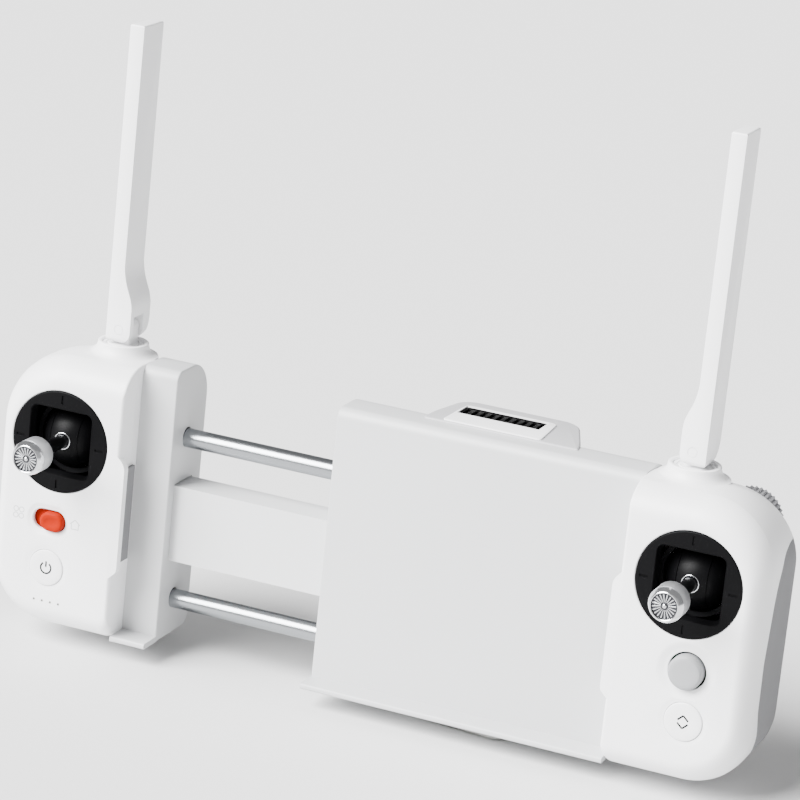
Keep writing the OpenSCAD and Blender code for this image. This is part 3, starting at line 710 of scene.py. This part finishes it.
def bezel(name):
    k = stickShape
    rim = arc(k["disc"] - 0.35, k["front"] + 0.35, 0.35, 0, -90, 5)
    disc = lathed([(0, k["front"] + k["deep"]),
                   (k["disc"], k["front"] + k["deep"])] + rim + [(0, k["front"])],
                  (stickAt.x, 0, stickAt.z), 96)
    half = k["window"] / 2
    deep = half - 0.6
    # the well narrows a little towards the back
    sections = [(k["front"] - 1, *squareAt(half + 0.1)), (k["front"], *squareAt(half)),
                (k["front"] + 0.35, *squareAt(half - 0.25)), (k["front"] + 3.5, *squareAt(deep - 0.3))]
    disc = carve(disc, lofted([k["windowRound"]] * 4, sections, segments=8))
    near, far, wide, deepTick = k["tick"]
    ticks = []
    for turn in range(4):
        tick = block((-wide / 2, k["front"] - 1, near), (wide / 2, k["front"] + deepTick, far))
        bmesh.ops.rotate(tick, cent=(0, 0, 0), matrix=Matrix.Rotation(math.radians(90 * turn), 3, "Y"),
                         verts=tick.verts)
        bmesh.ops.translate(tick, vec=(stickAt.x, 0, stickAt.z), verts=tick.verts)
        ticks.append(tick)
    disc = carve(disc, joined(*ticks))
    addPiece(disc, name + "_stick_plate", blackAbs, gripBody[name], [name + "_stick_bezel"],
             sides[name])


def squareAt(half):
    return stickAt.x - half, stickAt.x + half, stickAt.z - half, stickAt.z + half


def dome(name):
    k = stickShape
    back = arc(0, 0, k["dome"] - 1.6, 24, -76, 24)
    front = arc(0, 0, k["dome"], 24, -76, 30)
    profile = [(r, y + k["pivot"]) for r, y in back[::-1] + front]
    ball = lathed(profile + [profile[0]], (stickAt.x, 0, stickAt.z), 80)
    for side in (-1, 1):
        for edge in (-0.5, 0.5):
            bmesh.ops.bisect_plane(ball, geom=list(ball.verts) + list(ball.edges) + list(ball.faces),
                                   dist=0.0001,
                                   plane_co=(stickAt.x + side * k["grooveAt"] + edge * k["grooveWide"], 0,
                                             0),
                                   plane_no=(1, 0, 0))
    strip = [f for f in ball.faces if f.calc_center_median().y < k["pivot"] - 2.5 and f.normal.y < 0 and
             abs(abs(f.calc_center_median().x - stickAt.x) - k["grooveAt"]) < k["grooveWide"] / 2]
    sunk = bmesh.ops.extrude_face_region(ball, geom=strip)
    verts = [g for g in sunk["geom"] if isinstance(g, bmesh.types.BMVert)]
    bmesh.ops.delete(ball, geom=strip, context="FACES_ONLY")
    centre = Vector((stickAt.x, k["pivot"], stickAt.z))
    for vert in verts:
        vert.co -= (vert.co - centre).normalized() * 0.35
    pins = [lathed([(0, 9), (0.95, 9), (0.95, 11.6), (0, 11.6)], (stickAt.x, k["pivot"], stickAt.z), 20,
                   "X")]
    pins.append(lathed([(0, -9), (0.95, -9), (0.95, -11.6), (0, -11.6)], (stickAt.x, k["pivot"], stickAt.z),
                       20,
                       "X"))
    addPiece(joined(ball, *pins), name + "_stick_cover", blackAbs, name + "_stick",
             [name + "_stick_dome"], sides[name])


def stick(name):
    k = stickShape
    centre = (stickAt.x, 0, stickAt.z)
    shaft = lathed([(0, k["tip"] + 3.2), (k["shaft"], k["tip"] + 3.2), (k["shaft"], k["pivot"] - 7.8),
                    (3.1, k["pivot"] - 7.6), (3.1, k["pivot"] - 4), (0, k["pivot"] - 4)], centre, 40)
    addPiece(shaft, name + "_stick_rod", shaftAnodised, name + "_stick",
             [name + "_stick_shaft"],
             sides[name])
    seat = k["pivot"] - math.sqrt(k["dome"] ** 2 - 2.55 ** 2) - 0.05
    ring = lathed(arc(2.5, seat, 0.24, 0, 360, 12), centre, 48)
    addPiece(ring, name + "_stick_ring", capPolished, name + "_stick", (), sides[name])
    sleeve = [(k["shaft"] + 0.02, k["tip"] + k["capLong"]), (k["cap"] - 0.3, k["tip"] + k["capLong"])]
    sleeve += arc(k["cap"] - 0.3, k["tip"] + k["capLong"] - 0.3, 0.3, 90, 0, 4)
    sleeve += [(k["cap"], k["tip"] + 2.4), (k["shaft"] + 0.02, k["tip"] + 2.4)]
    grip = lathed(sleeve + [sleeve[0]], centre, 72)
    addPiece(grip, name + "_stick_sleeve", capBlasted, name + "_stick", [name + "_stick_cap"],
             sides[name])
    # the polished end: a groove, a cone and a rim round a recess
    end = [(k["shaft"] + 0.1, k["tip"] + 2.38), (k["cap"] - 0.12, k["tip"] + 2.38),
           (k["cap"] - 0.12, k["tip"] + 2.1),
           (k["cap"], k["tip"] + 1.95), (k["cap"] - 0.1, k["tip"] + 1.6), (k["cap"] - 0.8, k["tip"] + 0.35),
           (k["cap"] - 0.95, k["tip"] + 0.12), (k["cap"] - 1.15, k["tip"]),
           (k["cap"] - 1.35, k["tip"] + 0.1),
           (k["cap"] - 1.5, k["tip"] + 0.75), (k["shaft"] + 0.1, k["tip"] + 0.75)]
    addPiece(lathed(end + [end[0]], centre, 72), name + "_stick_end", capPolished, name + "_stick",
             (), sides[name])
    face = lathed([(0, k["tip"] + 1.3), (k["cap"] - 1.5, k["tip"] + 1.3), (k["cap"] - 1.5, k["tip"] + 0.72),
                   (0, k["tip"] + 0.72)], centre, 48)
    addPiece(face, name + "_stick_floor", shaftAnodised, name + "_stick", (), sides[name])
    parts = []
    for i in range(k["ridges"]):
        ridge = block((-0.17, k["tip"] + 0.2, 1.15), (0.17, k["tip"] + 0.8, k["cap"] - 1.75))
        outer = [v for v in ridge.verts if v.co.z > 2]
        bmesh.ops.scale(ridge, vec=(2.1, 1, 1), verts=outer)
        front = [v for v in ridge.verts if v.co.y < k["tip"] + 0.5]
        bmesh.ops.scale(ridge, vec=(0.45, 1, 1), verts=front)
        bmesh.ops.translate(ridge, vec=(0, 0.35, 0), verts=[v for v in front if v.co.z < 2])
        bmesh.ops.rotate(ridge, cent=(0, 0, 0), verts=ridge.verts,
                         matrix=Matrix.Rotation(math.tau * (i + 0.5) / k["ridges"], 3, "Y"))
        bmesh.ops.translate(ridge, vec=centre, verts=ridge.verts)
        parts.append(ridge)
    parts.append(lathed([(0, k["tip"] + 0.8), (0.75, k["tip"] + 0.8), (0.6, k["tip"] + 0.35),
                         (0.25, k["tip"] + 0.15), (0, k["tip"] + 0.12)], centre, 24))
    addPiece(joined(*parts), name + "_stick_face", capPolished, name + "_stick",
             [name + "_cap_insert"], sides[name])


for name in sides:
    bezel(name)
    dome(name)
    stick(name)
print("sticks made")


# ---- dials ----

dialShape = {"radius": 8.6, "bore": 1.55, "teeth": 38, "rows": 4, "point": 0.88, "chamfer": 0.5}


def dial(name):
    k = dialShape
    low, high = boxMm("right_dial")
    start, end = low.y + k["chamfer"], high.y - k["chamfer"]
    band = [(k["radius"], start + (end - start) * i / k["rows"]) for i in range(k["rows"] + 1)]
    profile = [(k["bore"], low.y), (k["radius"] - 1, low.y)] + band + [(k["radius"] - 1, high.y),
                                                                       (k["bore"], high.y)]
    wheel = lathed(profile + [profile[0]], (dialAt.x, 0, dialAt.z), k["teeth"])
    tread = [f for f in wheel.faces if (f.calc_center_median() - Vector((dialAt.x, f.calc_center_median().y,
             dialAt.z))).length > k["radius"] - 0.3]
    bmesh.ops.poke(wheel, faces=tread, offset=k["point"])
    addPiece(wheel, name + "_thumb_dial", dialAbs, name + "_dial", [name + "_dial"],
             sides[name], 20)


# ---- antennas ----

bladeLow, bladeHigh = boxMm("right_antenna_blade")
antennaShape = {"pinX": turretAt.x, "pinZ": 54.3, "thick": 4.6, "tongue": (16.2, 22.2), "tongueRound": 2.7,
                "base": 6.4, "baseTop": 49.4, "baseLow": 39.6, "flange": 7.3, "pinHole": 1.25, "edge": 0.45,
                "kneeLow": 62.8, "kneeHigh": 71.3, "heel": 6.5}


def turret(name):
    k = antennaShape
    top = k["baseTop"]
    rim = arc(k["base"] - 0.4, top - 0.4, 0.4, 0, 90, 5)
    # a shallow ring is sunk in the top
    ring = [(k["base"] - 1.0, top), (k["base"] - 1.1, top - 0.35), (k["base"] - 1.7, top - 0.35),
            (k["base"] - 1.8, top)]
    base = lathed([(0, k["baseLow"]), (k["flange"], k["baseLow"]), (k["flange"], k["baseLow"] + 2),
                   (k["base"], k["baseLow"] + 2)] + rim + ring + [(0, top)], (k["pinX"], turretAt.y, 0), 64,
                  "Z")
    front, back = k["tongue"]
    tongue = plate([(k["pinX"] - k["tongueRound"], top - 2), (k["pinX"] + k["tongueRound"], top - 2),
                    (k["pinX"] + k["tongueRound"], k["pinZ"] + k["tongueRound"]),
                    (k["pinX"] - k["tongueRound"], k["pinZ"] + k["tongueRound"])], (front, back),
                   (0, 0, k["tongueRound"] * 0.999, k["tongueRound"] * 0.999), segments=10)
    softened(tongue, [e for e in sharpEdges(tongue, 60) if min(v.co.z for v in e.verts) > top - 1], 0.3, 3)
    base = carve(base, tongue, "UNION")
    hole = lathed([(0, front - 1), (k["pinHole"], front - 1), (k["pinHole"], back + 1), (0, back + 1)],
                  (k["pinX"], 0, k["pinZ"]), 24)
    addPiece(carve(base, hole), name + "_swivel_base", shellAbs, name + "_turret",
             [name + "_antenna_turret"], sides[name])


def blade(name):
    k = antennaShape
    outer, inner, foot = bladeHigh.x, bladeHigh.x - k["thick"], bladeLow.x
    low, top = bladeLow.z, bladeHigh.z
    front, back = bladeLow.y, bladeHigh.y
    across = plate([(foot, low), (outer, low), (outer, top), (inner, top), (inner, k["kneeHigh"]),
                    (foot, k["kneeLow"])], (front, back), (3.4, 1.0, 0.6, 0.6, 3.5, 2.0))
    along = plate([(front, low), (back, low), (back, top), (front, top)], (foot - 1, outer + 1),
                  (1.4, k["heel"], 1.0, 0.6), "X", 8)
    body = carve(across, along, "INTERSECT")
    bmesh.ops.remove_doubles(body, verts=body.verts, dist=0.001)
    bmesh.ops.dissolve_limit(body, angle_limit=math.radians(1), verts=body.verts, edges=body.edges)
    body = modified(body, "BEVEL", {"width": k["edge"], "segments": 3, "limit_method": "ANGLE",
                                    "angle_limit": math.radians(50), "use_clamp_overlap": True})
    tongueFront, tongueBack = k["tongue"]
    fork = block((foot - 5, tongueFront - 0.3, low - 5), (k["pinX"] + 3, tongueBack + 0.3, k["pinZ"] + 4.2))
    softened(fork, edgesAlong(fork, 1, lambda m: m.z > k["pinZ"] and m.x > k["pinX"]), 2.4, 6)
    body = carve(body, fork)
    hole = lathed([(0, front + 0.6), (k["pinHole"], front + 0.6), (k["pinHole"], back + 1), (0, back + 1)],
                  (k["pinX"], 0, k["pinZ"]), 24)
    line = [(1.35, front - 1), (1.5, front - 1), (1.5, front + 0.2), (1.35, front + 0.2)]
    ring = lathed(line + [line[0]], (k["pinX"], 0, k["pinZ"]), 32)
    body = carve(carve(body, hole), ring)
    addPiece(body, name + "_antenna_paddle", shellAbs, name + "_antenna",
             [name + "_antenna_blade"],
             sides[name])


for name in sides:
    dial(name)
    turret(name)
    blade(name)
print("dials and antennas made")


# ---- front controls ----

controlShape = {"face": -3.0, "proud": 0.2, "edge": 0.4, "ink": 0.03, "inkSeat": 0.08}


def pressKey(node, pieceName, body):
    k = controlShape
    at = middleMm(node)
    radius = keyRadius[node]
    front = k["face"] - k["proud"]
    profile = [(0, 2.5), (1.2, 2.5), (1.2, 0.4), (radius + 1, 0.4), (radius + 1, -0.7), (radius, -0.7)]
    profile += arc(radius - k["edge"], front + k["edge"], k["edge"], 0, -80, 5)
    profile += [(radius * 0.6, front + 0.05), (radius * 0.3, front + 0.09), (0, front + 0.1)]
    side = 1 if at.x > 0 else -1
    addPiece(lathed(profile, (abs(at.x), 0, at.z), 72), pieceName, buttonAbs, body, [node],
             side)


def laidInkAndShade(parts, pieceName, body, material, x, z, front, side=1):
    ink = joined(*parts)
    bmesh.ops.translate(ink, vec=(x, front, z), verts=ink.verts)
    addPiece(ink, pieceName, material, body, (), side)


def inkAndShadeLine(start, end, wide):
    start, end = Vector(start), Vector(end)
    across = (end - start).normalized().orthogonal() * wide / 2
    corners = [start + across, end + across, end - across, start - across]
    return plate([(c.x, c.y) for c in corners], (-controlShape["ink"], 0.1))


def inkAndShadeRing(radius, wide, at=(0, 0), gap=0):
    # an open or closed ring; gap is the angle left out at the top
    bm = bmesh.new()
    half = wide / 2
    points = [(radius - half, -controlShape["ink"]), (radius + half, -controlShape["ink"]),
              (radius + half, 0.1),
              (radius - half, 0.1)]
    start = math.radians(90 + gap / 2) if gap else 0
    verts = [bm.verts.new((r * math.cos(start), y, r * math.sin(start))) for r, y in points]
    face = bm.faces.new(verts)
    if gap:
        bmesh.ops.spin(bm, geom=[face], cent=(0, 0, 0), axis=(0, -1, 0), steps=28,
                       angle=math.tau - math.radians(gap))
    else:
        edges = list(bm.edges)
        bmesh.ops.delete(bm, geom=[face], context="FACES_ONLY")
        bmesh.ops.spin(bm, geom=verts + edges, cent=(0, 0, 0), axis=(0, -1, 0), angle=math.tau, steps=32,
                       use_merge=True)
    bmesh.ops.remove_doubles(bm, verts=bm.verts, dist=0.001)
    bmesh.ops.recalc_face_normals(bm, faces=bm.faces)
    bmesh.ops.translate(bm, vec=(at[0], 0, at[1]), verts=bm.verts)
    return bm


keyRadius = {"power_button": 5.7, "function_button": 5.8}
pressKey("power_button", "power_key", "power")
pressKey("function_button", "function_key", "function")
keyFront = controlShape["face"] - controlShape["proud"] + controlShape["inkSeat"]
laidInkAndShade([inkAndShadeRing(1.75, 0.54, gap=70), inkAndShadeLine((0, 0.3), (0, 2.15), 0.54)], "power_symbol", "power", darkInk,
      powerAt.x, powerAt.z, keyFront)
chevrons = []
for up in (-1, 1):
    for across in (-1, 1):
        chevrons.append(inkAndShadeLine((0, up * 1.95), (across * 1.6, up * 0.45), 0.52))
laidInkAndShade(chevrons, "function_symbol", "function", darkInk, functionAt.x, functionAt.z, keyFront)


# the knob stands off the middle of its slide plate by the shift
sliderShape = {"long": 7.9, "tall": 5.9, "lip": 0.8, "dish": 0.35, "shift": 1.4}


def slider():
    k, face = sliderShape, controlShape["face"]
    middle = Vector(((sliderLow.x + sliderHigh.x) / 2 + k["shift"], 0, (sliderLow.z + sliderHigh.z) / 2))
    base = block((sliderLow.x, face + 2.3, sliderLow.z), (sliderHigh.x, sliderHigh.y, sliderHigh.z))
    half, long = k["tall"] / 2, k["long"] / 2
    rows = [(face + 2.4, 0.0), (sliderLow.y + k["lip"], 0.0)]
    for i in range(1, 7):
        lean = math.radians(90 * i / 6)
        rows.append((sliderLow.y + k["lip"] * (1 - math.sin(lean)), k["lip"] * (1 - math.cos(lean)) * 1.15))
    # a thumb rest sunk in the top
    for i in range(1, 5):
        rows.append((sliderLow.y + k["dish"] * i / 4, k["lip"] * 1.15 + 0.25 + i * 0.28))
    sections = [(y, middle.x - long + inset, middle.x + long - inset, middle.z - half + inset,
                 middle.z + half - inset) for y, inset in rows]
    knob = lofted([half * 0.999] * 4, sections, segments=12)
    addPiece(carve(knob, base, "UNION"), "mode_thumb", sliderAbs, "slider", ["mode_slider"])


slider()
pips = []
for i in range(4):
    across = lightsHigh.x - pipShape["radius"] - pipShape["pitch"] * i
    pips.append(lathed([(0, 0.6), (pipShape["radius"], 0.6), (pipShape["radius"], -2.6), (0.25, -2.72),
                        (0, -2.75)],
                       (across, 0, (lightsLow.z + lightsHigh.z) / 2), 16))
addPiece(joined(*pips), "charge_pips", lightGuide, "left_grip", ["charge_lights"])


def fiveWayCap():
    low, high = boxMm("five_way_cap")
    radius = (high.x - low.x) / 2
    profile = [(2.6, high.y), (radius, high.y), (radius, low.y + 0.75), (radius - 0.12, low.y + 0.6),
               (radius - 0.62, low.y + 0.06), (radius - 0.75, low.y)]
    for i in range(1, 5):
        profile.append(((radius - 0.75) * (1 - i / 4), low.y))
    profile += [(0, -2.8), (2.6, -2.8), (2.6, high.y)]
    cap = lathed(profile, (fiveAt.x, 0, fiveAt.z), 64)
    addPiece(cap, "five_way_thumb", diamondCap, "five_way", ["five_way_cap"])


fiveWayCap()

# faint debossed signs beside the slider: four circles, and a house, drawn as thin pale grey films of
# painted shade for their sunk lines
signs = {"circlesX": -112.6, "houseX": -93.2, "rise": 0.6, "line": 0.28, "spread": 0.95}
signFront = gripShape["face"] + 0.02
signZ = (sliderLow.z + sliderHigh.z) / 2 + signs["rise"]
circles = [inkAndShadeRing(0.8, signs["line"], (x * signs["spread"], z)) for x in (-1, 1) for z in (-1, 1)]
laidInkAndShade(circles, "mode_sign_circles", "left_grip", signGroovePaintedShade, signs["circlesX"], signZ, signFront)
roof = [((-1.7, 0.1), (0, 1.6)), ((0, 1.6), (1.7, 0.1)), ((-1.2, 0.3), (-1.2, -1.4)),
        ((1.2, 0.3), (1.2, -1.4)),
        ((-1.2, -1.4), (1.2, -1.4))]
house = [inkAndShadeLine(a, b, signs["line"]) for a, b in roof]
laidInkAndShade(house, "mode_sign_house", "left_grip", signGroovePaintedShade, signs["houseX"], signZ, signFront)
print("controls made")


# ---- clamp, bridge and hump ----

barShape = {"front": 8.8, "back": 31.2, "bottom": -40.0, "top": 46.4, "rounds": (0.5, 3.5, 11.5, 3.2),
            "wall": 1.8, "edge": 0.55, "rodZ": (-28, 24), "rodY": 19.0}
ledgeShape = {"front": 0.5, "top": -38.2}


def barBlock(start, end, inset=0.0):
    k = barShape
    low, high = k["bottom"] + inset, k["top"] - inset
    front, back = k["front"] + inset, k["back"] - inset
    return plate([(front, low), (back, low), (back, high), (front, high)], (start, end),
                 [max(r - inset, 0.3) for r in k["rounds"]], "X", 10)


def rodHoles(radius, start, end):
    k = barShape
    return [lathed([(0, start), (radius, start), (radius, end), (0, end)], (0, k["rodY"], z), 40, "X")
            for z in k["rodZ"]]


def withLedge(bar, start, end):
    k = barShape
    ledge = block((start, ledgeShape["front"], k["bottom"]), (end, k["front"] + 1, ledgeShape["top"]))
    softened(ledge, edgesAlong(ledge, 0, lambda m: m.y < k["front"]), 0.6, 4)
    return carve(bar, ledge, "UNION")


def sleeve():
    start, end = boxMm("left_sleeve")[0].x, boxMm("left_sleeve")[1].x
    bar = barBlock(start, end)
    softened(bar, sharpEdges(bar, 60, lambda m: m.x > end - 0.1), barShape["edge"], 4)
    bar = carve(bar, barBlock(start - 1, end - barShape["wall"], barShape["wall"]))
    bar = withLedge(bar, start, end)
    slot = block((end - 4, 12.9, -14.1), (end + 1, 25.1, 10.1))
    bar = carve(bar, joined(slot, *rodHoles(3.05, end - 4, end + 1)))
    addPiece(bar, "clamp_sleeve", bridgeAbs, "left_grip", ["left_sleeve"])


def bridge():
    start, end = boxMm("bridge_shell")[0].x, boxMm("bridge_shell")[1].x
    bar = barBlock(start, end)
    softened(bar, sharpEdges(bar, 60, lambda m: m.x < start + 0.1), barShape["edge"], 4)
    bar = carve(bar, barBlock(start + barShape["wall"], end + 1, barShape["wall"]))
    bar = withLedge(bar, start, end)
    slot = block((start - 1, 12.6, -14.4), (start + 4, 25.4, 10.4))
    bar = carve(bar, joined(slot, *rodHoles(4.5, start - 1, start + 4)))
    addPiece(bar, "bridge_case", bridgeAbs, "main_body", ["bridge_shell"])


humpShape = {"plan": [(8, 17), (57, 17), (56, 22), (48.5, 42), (11.5, 42), (8, 24)], "top": 46.9,
             "bottom": -40.0,
             "planRounds": (1, 1, 3, 5, 5, 3), "edge": 1.0, "wall": 2.0,
             "vent": (15, 41, 26.5, 35), "frame": (14, 45, 17.5, 36, 0.4), "slats": 10}


def hump():
    k = humpShape
    body = plate(k["plan"], (k["bottom"], k["top"]), k["planRounds"], "Z")
    softened(body, sharpEdges(body, 60, lambda m: m.z > k["top"] - 0.1 or m.z < k["bottom"] + 0.1),
             k["edge"], 4)
    inner = [(x + (k["wall"] if x < 30 else -k["wall"]), y - (k["wall"] if y > 40 else 0)) for x,
             y in k["plan"]]
    body = carve(body, plate(inner, (k["bottom"] + k["wall"], k["top"] - k["wall"]), k["planRounds"], "Z"))
    body = carve(body, barBlock(-5, 70, -0.02))
    left, right, front, back = k["vent"]
    window = block((left - 1, front - 1, k["top"] - 4), (right + 1, back + 1, k["top"] + 1))
    addPiece(carve(body, window), "hump_case", humpAbs, "main_body", ["hump_cover"])
    x0, x1, y0, y1, tall = k["frame"]
    rim = plate([(x0, y0), (x1, y0), (x1 - 1.5, y1), (x0 + 0.5, y1)], (k["top"] + 0.01, k["top"] + tall),
                (1.2, 1.2, 2, 2), "Z")
    softened(rim, sharpEdges(rim, 60, lambda m: m.z > k["top"] + 0.2), 0.18, 3)
    rim = carve(rim, block((left, front, k["top"] - 1), (right, back, k["top"] + 1)))
    addPiece(rim, "vent_surround", buttonAbs, "main_body", ["vent_frame"])
    grille = block((left - 0.9, front - 0.9, k["top"] - 1.8), (right + 0.9, back + 0.9, k["top"] - 0.3))
    pitch = (right - left) / k["slats"]
    gaps = []
    for i in range(k["slats"]):
        at = left + (i + 0.25) * pitch
        gaps.append(block((at, front + 0.6, k["top"] - 5), (at + pitch * 0.5, back - 0.6, k["top"] + 5)))
    addPiece(carve(grille, joined(*gaps)), "vent_slats", grilleAbs, "main_body",
             ["vent_grille"])


scoopShape = {"left": 8.0, "right": 46.0, "back": 42.0, "front": 11.0, "step": 5.0, "low": -45.5,
              "tall": 3.0,
              "round": 5.0, "wall": 1.6, "posts": 31.4, "meets": -40.0}


def scoop():
    k = scoopShape
    outline = [(k["left"], k["front"] + k["step"]), (k["right"], k["front"]), (k["right"], k["back"]),
               (k["left"], k["back"])]
    band = plate(outline, (k["low"], k["low"] + k["tall"]), (2, k["round"], 4, 4), "Z", 10)
    softened(band, sharpEdges(band, 60), 0.7, 4)
    w = k["wall"]
    inner = [(k["left"] + w, k["front"] + k["step"] + w), (k["right"] - w, k["front"] + w),
             (k["right"] - w, k["back"] - w), (k["left"] + w, k["back"] - w)]
    band = carve(band, plate(inner, (k["low"] + 1.4, k["low"] + 6), (1, k["round"] - w, 2.5, 2.5), "Z", 10))
    base = k["low"] + 2
    posts = joined(block((k["left"] + 0.3, k["posts"], base), (k["left"] + 1.9, k["back"] - 2, k["meets"])),
                   block((k["right"] - 1.9, k["posts"], base),
                         (k["right"] - 0.3, k["back"] - 2, k["meets"])),
                   block((k["left"] + 4, k["back"] - 1.7, base),
                         (k["right"] - 4, k["back"] - 0.1, k["meets"])))
    band = carve(band, posts, "UNION")
    addPiece(band, "air_scoop", scoopAbs, "main_body", ["lower_scoop"])


sleeve()
bridge()
hump()
scoop()
print("clamp, bridge and hump made")


# ---- pieces kept from the drawing, with their finishes ----

kept = {"guide_rods": rodSteel, "rod_bushes": acetal, "cable_tongue": linerAbs, "clamp_springs": rodSteel,
        "main_board": boardMask, "heat_sink": finAluminium, "battery_pack": cellFilm,
        "usb_socket": rodSteel,
        "five_way_switch": blackAbs, "five_way_plunger": rodSteel,
        "five_way_cradle": rodSteel}
for name in sides:
    for node, material in (("gimbal_frame", gimbalNylon), ("gimbal_ring", gimbalNylon),
                           ("dial_axle", screwSteel),
                           ("antenna_pin", screwSteel), ("board", boardMask), ("case_screws", screwSteel),
                           ("bay_pad", rubberTpe)):
        kept[name + "_" + node] = material
for node, material in kept.items():
    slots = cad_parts[node].material_slots
    for slot in slots:
        slot.material = material
print("finishes set")
